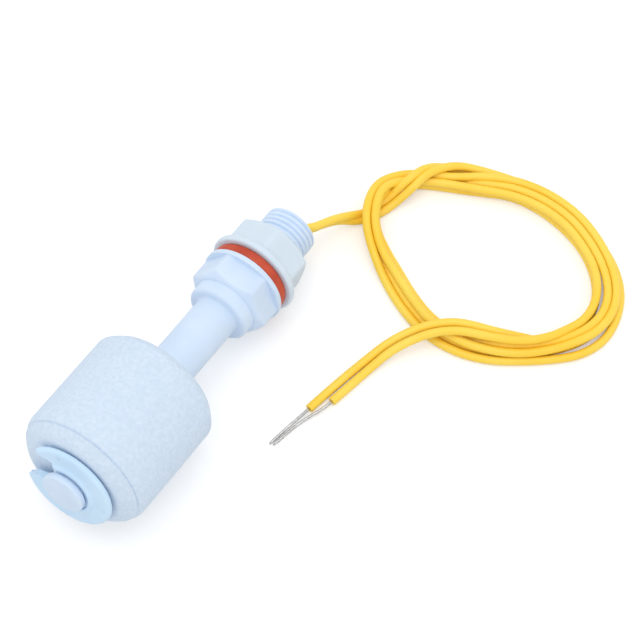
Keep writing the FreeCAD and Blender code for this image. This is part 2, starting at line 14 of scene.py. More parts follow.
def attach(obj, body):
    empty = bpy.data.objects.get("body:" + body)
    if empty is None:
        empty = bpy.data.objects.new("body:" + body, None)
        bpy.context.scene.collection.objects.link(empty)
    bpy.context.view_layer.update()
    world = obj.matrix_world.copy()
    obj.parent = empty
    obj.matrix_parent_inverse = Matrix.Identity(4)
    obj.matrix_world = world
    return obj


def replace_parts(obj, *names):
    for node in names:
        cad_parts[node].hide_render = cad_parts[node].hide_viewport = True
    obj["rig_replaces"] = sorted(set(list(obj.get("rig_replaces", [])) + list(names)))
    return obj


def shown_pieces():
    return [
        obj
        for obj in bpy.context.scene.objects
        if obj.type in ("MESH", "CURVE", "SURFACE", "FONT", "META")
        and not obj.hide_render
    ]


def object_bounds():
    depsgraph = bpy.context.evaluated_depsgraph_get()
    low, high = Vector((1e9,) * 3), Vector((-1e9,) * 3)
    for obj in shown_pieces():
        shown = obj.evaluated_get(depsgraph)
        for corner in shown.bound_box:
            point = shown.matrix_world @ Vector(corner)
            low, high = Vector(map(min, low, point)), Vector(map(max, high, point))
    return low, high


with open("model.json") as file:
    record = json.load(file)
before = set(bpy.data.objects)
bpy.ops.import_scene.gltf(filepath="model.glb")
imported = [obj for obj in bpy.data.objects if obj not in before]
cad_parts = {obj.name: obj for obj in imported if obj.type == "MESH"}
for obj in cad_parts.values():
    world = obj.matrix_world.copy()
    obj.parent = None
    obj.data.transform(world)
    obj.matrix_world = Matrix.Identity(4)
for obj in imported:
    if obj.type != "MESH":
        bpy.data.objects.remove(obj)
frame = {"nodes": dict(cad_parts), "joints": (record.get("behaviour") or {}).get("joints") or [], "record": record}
cad_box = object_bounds()

MM = 0.001
joints = {joint["name"]: joint for joint in frame["joints"]}
SEAM = Vector(joints["float_spin"]["pos_m"])
STEM = Vector(joints["float_spin"]["axis"]).normalized()
OVERHEAD = Vector((-STEM.z, 0, STEM.x))
FOOT = Vector((SEAM.x, 0, 0))
LYING = Matrix.Translation(SEAM) @ Matrix((-OVERHEAD, Vector((0, 1, 0)), STEM)).transposed().to_4x4()


def link(name, data):
    piece = bpy.data.objects.new(name, data)
    bpy.context.scene.collection.objects.link(piece)
    return piece


# ---------------------------------------------------------------- camera

CAMERA_PLACE = (-116.35, -124.65, 378.55)  # from the point below the seam, in millimetres
CAMERA_TURN = 34.09                        # direction of view over the surface, from +X towards +Y
CAMERA_DOWN = 62.03                        # how far the view looks down
CAMERA_LENS = 141.4
CAMERA_SENSOR = 36
CAMERA_NEAR = 0.02                         # in metres, as is the next
CAMERA_FAR = 5


def make_camera():
    camera = link("camera", bpy.data.cameras.new("camera"))
    camera.data.sensor_width = CAMERA_SENSOR
    camera.data.lens = CAMERA_LENS
    camera.data.clip_start = CAMERA_NEAR
    camera.data.clip_end = CAMERA_FAR
    turn = math.radians(CAMERA_TURN)
    down = math.radians(CAMERA_DOWN)
    forward = Vector((math.cos(down) * math.cos(turn), math.cos(down) * math.sin(turn), -math.sin(down)))
    camera.location = FOOT + Vector(CAMERA_PLACE) * MM
    camera.rotation_mode = "QUATERNION"
    camera.rotation_quaternion = forward.to_track_quat("-Z", "Y")
    bpy.context.scene.camera = camera


make_camera()

# ---------------------------------------------------------------- materials


def new_material(name, color, roughness, metallic=0.0):
    """Material with its shader and node tree ready for detail."""
    material = bpy.data.materials.new(name)
    material.use_nodes = True
    shader = material.node_tree.nodes["Principled BSDF"]
    shader.inputs["Base Color"].default_value = (*color, 1)
    shader.inputs["Roughness"].default_value = roughness
    shader.inputs["Metallic"].default_value = metallic
    return material, material.node_tree, shader


def linear(value):
    """Linear brightness of one 0-255 display value, none of them near black."""
    return ((value / 255 + 0.055) / 1.055) ** 2.4


def srgb(red, green, blue):
    return linear(red), linear(green), linear(blue)


def noise(tree, scale, detail):
    """Noise over the object's own coordinates, its scale in features per metre."""
    place = tree.nodes.new("ShaderNodeTexCoord")
    texture = tree.nodes.new("ShaderNodeTexNoise")
    texture.inputs["Scale"].default_value = scale
    texture.inputs["Detail"].default_value = detail
    tree.links.new(place.outputs["Object"], texture.inputs["Vector"])
    return texture


DARK_BELOW = 0.35   # of a noise's range
LIGHT_ABOVE = 0.65


def mottle(tree, shader, source, dark, light):
    """Colour that drifts between two shades with a noise."""
    ramp = tree.nodes.new("ShaderNodeValToRGB")
    ramp.color_ramp.elements[0].position = DARK_BELOW
    ramp.color_ramp.elements[0].color = (*dark, 1)
    ramp.color_ramp.elements[1].position = LIGHT_ABOVE
    ramp.color_ramp.elements[1].color = (*light, 1)
    tree.links.new(source.outputs["Fac"], ramp.inputs["Fac"])
    tree.links.new(ramp.outputs["Color"], shader.inputs["Base Color"])


def vary_roughness(tree, shader, source, low, high):
    spread = tree.nodes.new("ShaderNodeMapRange")
    spread.inputs["To Min"].default_value = low
    spread.inputs["To Max"].default_value = high
    tree.links.new(source.outputs["Fac"], spread.inputs["Value"])
    tree.links.new(spread.outputs["Result"], shader.inputs["Roughness"])


def bumps(tree, shader, layers):
    """Bump from several noises, each with its height in millimetres."""
    normal = None
    for source, height in layers:
        bump = tree.nodes.new("ShaderNodeBump")
        bump.inputs["Strength"].default_value = 1
        bump.inputs["Distance"].default_value = height * MM
        tree.links.new(source.outputs["Fac"], bump.inputs["Height"])
        if normal:
            tree.links.new(normal.outputs["Normal"], bump.inputs["Normal"])
        normal = bump
    tree.links.new(normal.outputs["Normal"], shader.inputs["Normal"])


def soften_plastic(shader, weight, radius):
    """Light that spreads a little way into pale plastic."""
    shader.inputs["Subsurface Weight"].default_value = weight
    shader.inputs["Subsurface Radius"].default_value = (1.0, 1.0, 1.2)
    shader.inputs["Subsurface Scale"].default_value = radius * MM


def make_foam():
    material, tree, shader = new_material("foamed_polypropylene", srgb(209, 225, 243), 0.72)
    grain = noise(tree, 1500, 5)
    clouds = noise(tree, 200, 2)
    mottle(tree, shader, grain, srgb(203, 220, 238), srgb(213, 228, 245))
    vary_roughness(tree, shader, grain, 0.62, 0.82)
    bumps(tree, shader, [(clouds, 0.02), (grain, 0.05)])
    soften_plastic(shader, 0.12, 1.0)
    return material


def make_moulded(name, low, high, roughness, grain_height):
    material, tree, shader = new_material(name, low, roughness)
    flow = noise(tree, 150, 2)
    fine = noise(tree, 1800, 2)
    mottle(tree, shader, flow, low, high)
    vary_roughness(tree, shader, fine, roughness - 0.05, roughness + 0.07)
    bumps(tree, shader, [(flow, 0.04), (fine, grain_height)])
    soften_plastic(shader, 0.15, 1.2)
    return material


def make_silicone():
    material, tree, shader = new_material("orange_red_silicone", srgb(200, 74, 42), 0.45)
    clouds = noise(tree, 420, 3)
    fine = noise(tree, 3000, 3)
    mottle(tree, shader, clouds, srgb(190, 64, 34), srgb(208, 80, 46))
    vary_roughness(tree, shader, fine, 0.40, 0.56)
    bumps(tree, shader, [(clouds, 0.05), (fine, 0.012)])
    return material


def make_insulation():
    material, tree, shader = new_material("yellow_insulation", srgb(252, 205, 74), 0.36)
    drift = noise(tree, 90, 2)
    drawn = noise(tree, 900, 3)
    mottle(tree, shader, drift, srgb(254, 210, 62), srgb(255, 220, 86))
    vary_roughness(tree, shader, drawn, 0.30, 0.46)
    bumps(tree, shader, [(drift, 0.04), (drawn, 0.010)])
    soften_plastic(shader, 0.10, 0.5)
    return material


def make_metal(name, dark, light, roughness, fine_scale):
    material, tree, shader = new_material(name, light, roughness, 1.0)
    clouds = noise(tree, fine_scale, 4)
    fine = noise(tree, fine_scale * 5, 2)
    mottle(tree, shader, clouds, dark, light)
    vary_roughness(tree, shader, fine, roughness - 0.08, roughness + 0.12)
    bumps(tree, shader, [(clouds, 0.008), (fine, 0.003)])
    return material


def make_glass():
    material, tree, shader = new_material("reed_glass", (0.82, 0.93, 0.86), 0.05)
    shader.inputs["Transmission Weight"].default_value = 1
    shader.inputs["IOR"].default_value = 1.5
    ripple = noise(tree, 500, 2)
    bumps(tree, shader, [(ripple, 0.004)])
    return material


def make_dull(name, dark, light, roughness, scale):
    material, tree, shader = new_material(name, light, roughness)
    clouds = noise(tree, scale, 4)
    fine = noise(tree, scale * 6, 3)
    mottle(tree, shader, clouds, dark, light)
    vary_roughness(tree, shader, fine, roughness - 0.08, roughness + 0.1)
    bumps(tree, shader, [(clouds, 0.02), (fine, 0.008)])
    return material


MATERIALS = {
    "float_foam": make_foam(),
    "stem_plastic": make_moulded("stem_polypropylene", srgb(207, 225, 247), srgb(214, 231, 252),
                                 0.40, 0.006),
    "clip_plastic": make_moulded("clip_polypropylene", srgb(196, 224, 251), srgb(204, 231, 254),
                                 0.38, 0.006),
    "nut_plastic": make_moulded("nut_polypropylene", srgb(208, 223, 236), srgb(215, 229, 241),
                                0.42, 0.008),
    "gasket_silicone": make_silicone(),
    "lead_insulation": make_insulation(),
    "tinned_copper": make_metal("tinned_copper", (0.55, 0.54, 0.52), (0.78, 0.77, 0.75), 0.34, 2500),
    "solder": make_metal("solder_tin", (0.50, 0.50, 0.50), (0.72, 0.72, 0.72), 0.28, 1500),
    "reed_metal": make_metal("plated_nickel_iron", (0.60, 0.56, 0.48), (0.76, 0.72, 0.64), 0.25, 3000),
    "reed_glass": make_glass(),
    "potting_resin": make_dull("cast_resin", (0.02, 0.02, 0.022), (0.04, 0.04, 0.043), 0.30, 500),
    "sleeve_plastic": make_dull("white_sleeving", (0.70, 0.70, 0.67), (0.80, 0.80, 0.77), 0.45, 800),
    "magnet_ferrite": make_dull("sintered_ferrite", (0.035, 0.035, 0.038), (0.07, 0.07, 0.075), 0.55, 1500),
}


def finish_piece(piece, body, slot, *nodes):
    """Gives a new piece the material named by its record slot, its body and the CAD nodes it stands for."""
    piece.data.materials.append(MATERIALS[slot])
    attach(piece, body)
    if nodes:
        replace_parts(piece, *nodes)


# ---------------------------------------------------------------- leads

LEAD = 1.5        # outside of the insulation
WIRE = 0.5        # bare end
THREAD_END = 59.66
# Each lead leaves the sealing compound inside the thread's bore.
START_A = [(58.5, -0.9, 7.4), (59.7, -1.3, 7.2)]
START_B = [(58.4, -0.7, 5.9), (59.8, -0.9, 5.75)]

# Middle of the coil's bundle, counted like the routes from the point on the surface below the seam.
COIL_MIDDLE = (75.0, -30.0)
COIL_ACROSS = 15.3
COIL_ALONG = 22.0
STATION = 15      # degrees between the points of a turn
FIRST_STATION = 85
TIGHTENING = 1 / math.cos(math.radians(STATION / 2))  # a spline runs inside its points by this much

EXIT_A = [(61.3, -2.9, 6.6), (63.86, -3.75, 5.5), (66.6, -4.7, 4.2), (69.2, -5.8, 2.4),
          (71.5, -6.8, 0.8), (73.8, -7.8, 0.76)]
EXIT_B = [(61.6, -2.3, 5.1), (64.5, -3.3, 3.9), (67.2, -4.6, 2.5), (69.3, -6.5, 0.9),
          (71.4, -8.3, 0.76), (73.8, -9.4, 0.76)]
TAIL_A = [(61.6, -33.2, 3.7), (59.4, -30.2, 3.8), (56.7, -27.6, 3.5), (52.5, -24.5, 1.8),
          (47.2, -22.8, 0.8), (41.1, -21.3, 0.76), (34.9, -20.1, 0.76)]
TAIL_B = [(60.3, -34.2, 3.8), (58.1, -31.2, 3.9), (55.5, -28.8, 3.6), (51.3, -25.8, 2.0),
          (46.9, -24.4, 0.9), (42.3, -23.4, 0.76), (38.1, -22.5, 0.76)]
TIP_A = [(34.9, -20.1, 0.8), (32.0, -19.54, 0.8), (28.9, -18.7, 0.4), (26.0, -18.2, 0.3)]
TIP_B = [(38.1, -22.5, 0.8), (36.2, -22.09, 0.8), (33.2, -20.6, 0.5), (29.7, -19.5, 0.3),
         (26.2, -18.85, 0.3)]

# Where each lead lies in the bundle, station by station: how far outside the bundle's middle, and how high.
TURNS_A = [
    [(-0.8, 1.0), (-1.25, 3.9), (0.4, 3.8), (1.3, 0.95), (-0.05, 0.75), (0.3, 0.75),
     (0.4, 0.75), (0.4, 0.75), (0.5, 0.75), (0.8, 0.75), (0.9, 0.75), (0.7, 0.75),
     (0.0, 0.75), (-0.4, 0.75), (-0.6, 0.75), (-0.5, 0.75), (0.3, 0.75), (0.8, 0.75),
     (0.6, 0.75), (-0.5, 0.75), (-1.35, 0.75), (-1.0, 0.9), (0.3, 1.9), (1.2, 2.4)],
    [(1.9, 1.85), (1.3, 0.75), (-0.2, 0.75), (-1.2, 0.75), (-1.4, 1.7), (-0.3, 2.15),
     (0.3, 2.25), (0.5, 2.25), (0.2, 2.22), (0.1, 2.15), (0.15, 2.05), (-0.1, 2.1),
     (-0.8, 2.2), (-1.4, 2.1), (-1.6, 2.1), (-1.2, 2.1), (-0.8, 2.1), (-0.7, 0.75),
     (-0.9, 0.75), (-2.05, 0.75), (-2.85, 0.8), (-2.5, 0.9), (-1.2, 1.9), (-0.3, 2.4)],
    [(0.55, 2.25), (-0.15, 0.8), (-1.7, 0.75), (-2.7, 0.75), (-2.6, 0.75), (-1.3, 0.75),
     (-1.1, 0.75), (-1.1, 0.75), (-1.2, 0.75), (-1.5, 0.75), (-1.75, 0.75), (-2.1, 0.75),
     (-2.1, 0.75), (-2.4, 0.9), (-2.1, 1.0), (-2.7, 2.3), (-2.6, 3.1)],
]
TURNS_B = [
    [(-2.3, 1.0), (-2.7, 3.0), (-1.05, 4.3), (1.2, 2.5), (1.3, 1.5), (1.8, 0.75),
     (1.9, 0.75), (1.9, 0.75), (2.0, 0.75), (2.3, 0.75), (2.4, 0.75), (2.2, 0.75),
     (2.3, 0.75), (1.8, 0.75), (1.0, 0.75), (1.0, 0.75), (1.9, 0.75), (2.4, 0.75),
     (2.1, 0.75), (1.0, 0.75), (0.15, 0.85), (0.0, 2.1), (0.6, 3.35), (1.2, 3.9)],
    [(1.9, 3.35), (1.3, 2.25), (-0.3, 2.25), (-1.3, 2.25), (-0.1, 2.35), (1.2, 2.15),
     (1.8, 2.25), (2.0, 2.25), (1.7, 2.22), (1.6, 2.08), (1.65, 2.05), (1.35, 2.1),
     (0.6, 2.1), (-0.1, 2.2), (-0.2, 2.15), (0.3, 2.1), (0.7, 2.15), (0.9, 2.2),
     (0.2, 2.15), (-1.2, 2.1), (-1.9, 2.15), (-1.45, 2.4), (-0.95, 3.4), (-0.3, 3.9)],
    [(0.55, 3.75), (-0.1, 2.3), (-1.8, 2.25), (-2.8, 2.25), (-2.9, 2.2), (-1.9, 2.2),
     (-1.2, 2.25), (-1.0, 2.25), (-1.3, 2.25), (-1.4, 2.25), (-1.75, 2.25), (-2.1, 2.25),
     (-2.4, 2.25), (-2.8, 2.4), (-1.9, 3.5), (-1.3, 3.6), (-1.1, 3.65)],
]


def below_seam(points):
    """Points counted in millimetres from below the seam's centre, in the model's frame."""
    return [FOOT + Vector(point) * MM for point in points]


def round_the_coil(turns):
    """Points of a lead's turns, from its place in the bundle at each station."""
    points = []
    for number, (outwards, height) in enumerate(place for turn in turns for place in turn):
        angle = math.radians(FIRST_STATION - STATION * number)
        middle = Vector((COIL_ACROSS * math.cos(angle), COIL_ALONG * math.sin(angle)))
        normal = Vector((math.cos(angle) / COIL_ACROSS, math.sin(angle) / COIL_ALONG)).normalized()
        place = (middle + normal * outwards) * TIGHTENING
        points.append((COIL_MIDDLE[0] + place.x, COIL_MIDDLE[1] + place.y, height))
    return points


CORD_ROUNDNESS = 6
CORD_STEPS = 10


def make_spline(name, points, radius):
    """Curve of one open NURBS spline through its control points."""
    curve = bpy.data.curves.new(name, "CURVE")
    curve.dimensions = "3D"
    curve.bevel_depth = radius * MM
    curve.bevel_resolution = CORD_ROUNDNESS
    curve.use_fill_caps = True
    curve.resolution_u = CORD_STEPS
    spline = curve.splines.new("NURBS")
    spline.points.add(len(points) - 1)
    for target, point in zip(spline.points, points):
        target.co = (*point, 1)
    spline.order_u = 3
    spline.use_endpoint_u = True
    return link(name, curve)


def centreline(name, points):
    """Points read along a NURBS spline with no thickness."""
    guide = make_spline(name, points, 0)
    mesh = bpy.data.meshes.new_from_object(guide)
    line = [vertex.co.copy() for vertex in mesh.vertices]
    bpy.data.objects.remove(guide)
    return line


STRANDS = 7
LAY_LENGTH = 5.0  # of the strands' twist
TIP_TAPER = (0.55, 0.85, 1.0)  # of the last ring, the one before it and all the others
LOBE = 0.20       # how much of the radius the strands' valleys take


def make_bare_end(name, points):
    """Twisted and tinned strands: a tube with one lobe for each outer strand, turning along its length."""
    line = centreline(name + "_guide", points)
    around = 8 * STRANDS
    mesh = bmesh.new()
    rings = []
    travelled = 0.0
    for number, place in enumerate(line):
        before = line[max(number - 1, 0)]
        after = line[min(number + 1, len(line) - 1)]
        travelled += (place - before).length
        along = (after - before).normalized()
        side = along.cross(Vector((0, 0, 1))).normalized()
        up = side.cross(along)
        twist = 2 * math.pi * travelled / (LAY_LENGTH * MM)
        left = len(line) - 1 - number
        taper = TIP_TAPER[min(left, 2)]
        ring = []
        for step in range(around):
            angle = 2 * math.pi * step / around
            lobe = abs(math.cos(STRANDS * (angle - twist) / 2))
            radius = WIRE / 2 * MM * taper * (1 - LOBE + LOBE * lobe)
            outwards = side * radius * math.cos(angle)
            ring.append(mesh.verts.new(place + outwards + up * radius * math.sin(angle)))
        rings.append(ring)
    for first, second in zip(rings, rings[1:]):
        for step in range(around):
            following = (step + 1) % around
            mesh.faces.new((first[step], first[following], second[following], second[step]))
    mesh.faces.new(rings[0][::-1])
    mesh.faces.new(rings[-1])
    bmesh.ops.recalc_face_normals(mesh, faces=mesh.faces)
    data = bpy.data.meshes.new(name)
    mesh.to_mesh(data)
    mesh.free()
    for face in data.polygons:
        face.use_smooth = len(face.vertices) == 4
    return link(name, data)


def make_lead(name, start, exit_points, turns, tail, tip, nodes):
    """One insulated lead from the thread's end to its bare end, with its stripped strands."""
    points = below_seam(start + exit_points + round_the_coil(turns) + tail)
    lead = make_spline(name, points, LEAD / 2)
    finish_piece(lead, "housing", "lead_insulation", *nodes)
    bare = make_bare_end(name + "_bare_strands", below_seam(tip))
    finish_piece(bare, "housing", "tinned_copper", name.replace("lead", "conductor_tip"))


make_lead("lead_a", START_A, EXIT_A, TURNS_A, TAIL_A, TIP_A,
          ("lead_a_exit", "lead_a_tail", "lead_coil"))
make_lead("lead_b", START_B, EXIT_B, TURNS_B, TAIL_B, TIP_B,
          ("lead_b_exit", "lead_b_tail"))

# ---------------------------------------------------------------- turned and moulded pieces

ROUND_STEPS = 3      # facets of a rounded edge
CORNER_SHARE = 0.49  # of a side, the most that a corner's rounding takes


def soften(points):
    """Rounds the corners of an outline of (radius, place, corner radius) points."""
    result = []
    for number, (radius, place, rounding) in enumerate(points):
        here = Vector((radius, place))
        if not rounding or number in (0, len(points) - 1):
            result.append(here)
            continue
        before = Vector(points[number - 1][:2]) - here
        after = Vector(points[number + 1][:2]) - here
        first = here + before * min(rounding / before.length, CORNER_SHARE)
        last = here + after * min(rounding / after.length, CORNER_SHARE)
        for step in range(ROUND_STEPS + 1):
            share = step / ROUND_STEPS
            result.append(first * (1 - share) ** 2 + here * 2 * share * (1 - share) + last * share ** 2)
    return result


CORNER_REACH = 1.135  # of a rounded hexagon's corners, as a share of its flats


def hexagon_reach(angle, first_corner):
    """How much further than its flats a slightly rounded hexagon reaches at an angle."""
    turned = (angle - first_corner) % (math.pi / 3) - math.pi / 6
    return min(1 / math.cos(turned), CORNER_REACH)


THREAD_CREST = 4.75
THREAD_DEPTH = 0.42
THREAD_PITCH = 1.0
THREAD_START = 45.6
GROOVE_SHARE = 0.27   # half width of the thread's groove, as a share of the pitch
GROOVE_SHIFT = 0.12


def thread_radius(along, angle):
    """Radius of the right-hand thread at a place along the stem: broad crests, narrow grooves."""
    phase = (along / THREAD_PITCH - angle / (2 * math.pi) + GROOVE_SHIFT) % 1.0
    groove = max(1 - abs(phase - 0.5) / GROOVE_SHARE, 0)
    depth = THREAD_DEPTH * (0.5 - 0.5 * math.cos(math.pi * groove))
    fade_in = min(max((along - THREAD_START - 0.2) / 0.8, 0), 1)
    lead_in = THREAD_CREST - max(along - (THREAD_END - 0.3), 0) * 0.8
    return min(THREAD_CREST - depth * fade_in, lead_in)


def soft_min(first, second, width):
    """The smaller of two radii, rounded where they cross."""
    share = min(max(0.5 + (second - first) / (2 * width), 0), 1)
    return second + (first - second) * share - width * share * (1 - share)


def soft_max(first, second, width):
    return -soft_min(-first, -second, width)


def revolve(name, rings, segments, offset=0.0):
    """Surface through rings of radii, given as (place along the stem, radius at an angle)."""
    mesh = bmesh.new()
    angles = [offset + 2 * math.pi * step / segments for step in range(segments)]
    loops = []
    for along, radius_at in rings:
        radii = [radius_at(angle) for angle in angles]
        if max(radii) < 1e-6:
            loops.append([mesh.verts.new((0, 0, along * MM))])
            continue
        loops.append([
            mesh.verts.new((radius * math.cos(angle) * MM, radius * math.sin(angle) * MM, along * MM))
            for radius, angle in zip(radii, angles)])
    pairs = list(zip(loops, loops[1:]))
    if len(loops[0]) > 1:
        pairs.append((loops[-1], loops[0]))
    for first, second in pairs:
        for step in range(segments):
            following = (step + 1) % segments
            if len(first) == 1:
                mesh.faces.new((first[0], second[following], second[step]))
            elif len(second) == 1:
                mesh.faces.new((first[step], first[following], second[0]))
            else:
                mesh.faces.new((first[step], first[following], second[following], second[step]))
    return close_mesh(name, mesh)


SHARP_EDGE = math.radians(35)


def close_mesh(name, mesh):
    """Turns a bmesh drawn on the stem's axis into a smooth-shaded piece in the model's frame."""
    bmesh.ops.recalc_face_normals(mesh, faces=mesh.faces)
    for edge in mesh.edges:
        if len(edge.link_faces) == 2 and edge.calc_face_angle(0) > SHARP_EDGE:
            edge.smooth = False
    for face in mesh.faces:
        face.smooth = True
    mesh.transform(LYING)
    data = bpy.data.meshes.new(name)
    mesh.to_mesh(data)
    mesh.free()
    return link(name, data)


def outline_rings(points):
    """Round rings through a softened outline."""
    return [(along, lambda angle, r=radius: r) for radius, along in soften(points)]


SEGMENTS = 192
NUT_SEGMENTS = 144
GASKET_SEGMENTS = 128

# Stem moulding, from its blind end to its thread.
STEM_RADIUS = 3.9
STEM_END = -5.1
CLIP_GROOVE = (-4.05, -2.25)
CLIP_GROOVE_RADIUS = 3.35
SHOULDER_RADIUS = 5.6
SHOULDER = (37.4, 39.95)
BODY_CORNER = math.radians(36.6)
BODY_FLATS = 6.5
BODY_TURNED = 5.95    # radius to which its corners are turned down at the shoulder
BODY_SLOPE = 1.6      # gain of that radius for each millimetre along the stem
BODY_PLACES = (40.0, 40.1, 40.22, 40.36, 40.5, 40.65, 40.8, 40.95, 41.1, 41.3, 42.5, 43.7, 44.5, 44.62)
COLLAR_RADIUS = 7.55
COLLAR_LOW = 44.67
BORE_RADIUS = 2.75
BORE_END = -2.6

# Nut, from its flange to its crown.
NUT_CORNER = math.radians(9.0)
NUT_FLATS = 6.45
FLANGE_RADIUS = 8.06
FLANGE_LOW = 47.6
CROWN_RADIUS = 5.25
CROWN = 54.8
CROWN_SLOPE = 1.74
NUT_THREAD = (47.8, 54.6)
NUT_PLAY = 0.06

GASKET = (45.64, 47.56)
GASKET_BORE = 5.05

# Float: both pieces meet at the seam's groove.
FLOAT_RADIUS = 11.65
FLOAT_TOP = 21.2
FLOAT_BORE = 4.2
FLOAT_JOIN = 0.2
POCKET = (5.2, 8.05)  # inner and outer radius of the magnet's room
POCKET_TOP = 5.05
CAP_FACE = -1.85


def body_hexagon(along, angle):
    """Body hexagon with its corners turned down to a circle at the shoulder's end."""
    turned = BODY_TURNED + (along - SHOULDER[1]) * BODY_SLOPE
    return soft_min(BODY_FLATS * hexagon_reach(angle, BODY_CORNER), turned, 0.3)


def nut_outside(along, angle):
    """Nut from its flange's rim to its crown: the flange runs into the hexagon in a soft curve."""
    crown = CROWN_RADIUS + (CROWN - along) * CROWN_SLOPE
    hexagon = soft_min(NUT_FLATS * hexagon_reach(angle, NUT_CORNER), crown, 0.25)
    flange = FLANGE_RADIUS - max(along - 48.35, 0) ** 2 * 1.15
    return soft_max(hexagon, flange, 0.3)


def rings_of(places, radius_at):
    return [(along, lambda angle, s=along: radius_at(s, angle)) for along in places]


def make_stem():
    """The one moulding: blind stem, clip groove, shoulder, hexagon, collar, thread and bore."""
    below = outline_rings([
        (0.0, STEM_END, 0), (STEM_RADIUS, STEM_END, 0.3),
        (STEM_RADIUS, CLIP_GROOVE[0], 0.05), (CLIP_GROOVE_RADIUS, CLIP_GROOVE[0], 0.05),
        (CLIP_GROOVE_RADIUS, CLIP_GROOVE[1], 0.05), (STEM_RADIUS, CLIP_GROOVE[1], 0.05),
        (STEM_RADIUS, 10.0, 0), (STEM_RADIUS, 24.0, 0),
        (STEM_RADIUS, SHOULDER[0], 0.5), (SHOULDER_RADIUS, SHOULDER[0], 0.75),
        (SHOULDER_RADIUS, SHOULDER[1], 0.12), (BODY_TURNED, SHOULDER[1], 0),
    ])
    hexagon = rings_of(BODY_PLACES, body_hexagon)
    collar = outline_rings([
        (7.35, COLLAR_LOW, 0), (COLLAR_RADIUS, COLLAR_LOW, 0.18),
        (COLLAR_RADIUS, THREAD_START, 0.25), (THREAD_CREST, THREAD_START, 0),
    ])
    rows = int((THREAD_END - THREAD_START) / THREAD_PITCH * 14)
    step = (THREAD_END - THREAD_START) / rows
    thread = rings_of([THREAD_START + step * row for row in range(1, rows + 1)], thread_radius)
    inside = outline_rings([
        (BORE_RADIUS + 0.25, THREAD_END, 0), (BORE_RADIUS, THREAD_END - 0.25, 0), (BORE_RADIUS, 30.0, 0),
        (BORE_RADIUS, BORE_END, 0), (0.0, BORE_END, 0),
    ])
    stem = revolve("stem_moulding", below + hexagon + collar + thread + inside, SEGMENTS, BODY_CORNER)
    finish_piece(stem, "housing", "stem_plastic", "stem_body")


def make_nut():
    """Hexagon nut with its round flange and its own thread, which follows the stem's."""
    flange = outline_rings([
        (5.2, FLANGE_LOW, 0), (7.82, FLANGE_LOW, 0.2), (FLANGE_RADIUS, 47.95, 0.15),
        (FLANGE_RADIUS, 48.3, 0),
    ])
    curve = [48.45 + 0.12 * row for row in range(13)]
    flats = [50.5, 51.5, 52.5, 53.0]
    crown = [53.2 + 0.1 * row for row in range(17)]
    outside = rings_of(curve + flats + crown, nut_outside)
    low, high = NUT_THREAD
    rows = int((high - low) / THREAD_PITCH * 12)
    bore = rings_of([high - (high - low) * row / rows for row in range(rows + 1)],
                    lambda along, angle: thread_radius(along, angle) + NUT_PLAY)
    nut = revolve("flanged_nut", flange + outside + bore, NUT_SEGMENTS, NUT_CORNER)
    finish_piece(nut, "nut", "nut_plastic", "mounting_nut")


def make_gasket():
    low, high = GASKET
    outline = outline_rings([
        (GASKET_BORE, low, 0), (7.1, low, 0.4), (7.24, 46.6, 0.5), (7.1, high, 0.4), (GASKET_BORE, high, 0),
    ])
    gasket = revolve("silicone_gasket", outline, GASKET_SEGMENTS)
    finish_piece(gasket, "gasket", "gasket_silicone", "sealing_gasket")


def make_float():
    """The float's body with the magnet's room, and the cap that closes it below the seam."""
    inner, outer = POCKET
    shell = revolve("float_upper", outline_rings([
        (FLOAT_BORE, FLOAT_JOIN, 0), (inner, FLOAT_JOIN, 0), (inner, POCKET_TOP, 0),
        (outer, POCKET_TOP, 0), (outer, FLOAT_JOIN, 0),
        (10.85, FLOAT_JOIN, 0), (11.2, 0.45, 0.1), (11.5, 1.0, 0.3), (FLOAT_RADIUS, 1.7, 0.3),
        (FLOAT_RADIUS, 6.0, 0), (FLOAT_RADIUS, 12.0, 0), (FLOAT_RADIUS, 19.5, 0.35),
        (10.1, FLOAT_TOP, 0.4), (7.0, FLOAT_TOP, 0), (FLOAT_BORE, FLOAT_TOP, 0.4), (FLOAT_BORE, 12.0, 0),
    ]), SEGMENTS)
    finish_piece(shell, "float", "float_foam", "float_shell")
    cap = revolve("float_lower", outline_rings([
        (FLOAT_BORE, CAP_FACE, 0), (7.0, CAP_FACE, 0), (8.7, -1.8, 0.5), (9.9, -1.2, 0.6),
        (10.75, -0.3, 0.4), (11.08, 0.05, 0.1), (10.85, FLOAT_JOIN, 0), (FLOAT_BORE, FLOAT_JOIN, 0),
    ]), SEGMENTS)
    finish_piece(cap, "float", "float_foam", "float_cap")


# Ends of the clip's two arms: the angle in degrees at which each ends, by radius.
CLIP_UPPER_END = [(3.4, 150), (4.8, 148), (5.6, 144), (6.3, 134), (7.0, 128.5), (7.6, 127), (8.1, 127)]
CLIP_LOWER_END = [(3.4, 88), (4.2, 84), (4.9, 81), (5.9, 79), (7.1, 79), (7.7, 74), (8.1, 69)]
CLIP_STEPS = 150
CLIP_PLACE = -3.22
CLIP_TILT = 4.0                  # degrees, about the next
CLIP_TILT_AXIS = (-0.3, 0.95, 0)
CLIP_BACK = -0.5
CLIP_MARKS = ((6.9, 163), (7.0, 274))  # radius and angle
MARK_RADIUS = 0.32
MARK_HEIGHT = 0.43
MARK_FLATNESS = 0.45


def between(table, place):
    """Value of a table at a place, along straight lines."""
    for (first, low), (last, high) in zip(table, table[1:]):
        if place <= last:
            return low + (high - low) * max(place - first, 0) / (last - first)
    return table[-1][1]


def polar(radius, degrees, height):
    """Point in metres on the stem's axis frame."""
    angle = math.radians(degrees)
    return Vector((radius * math.cos(angle), radius * math.sin(angle), height)) * MM


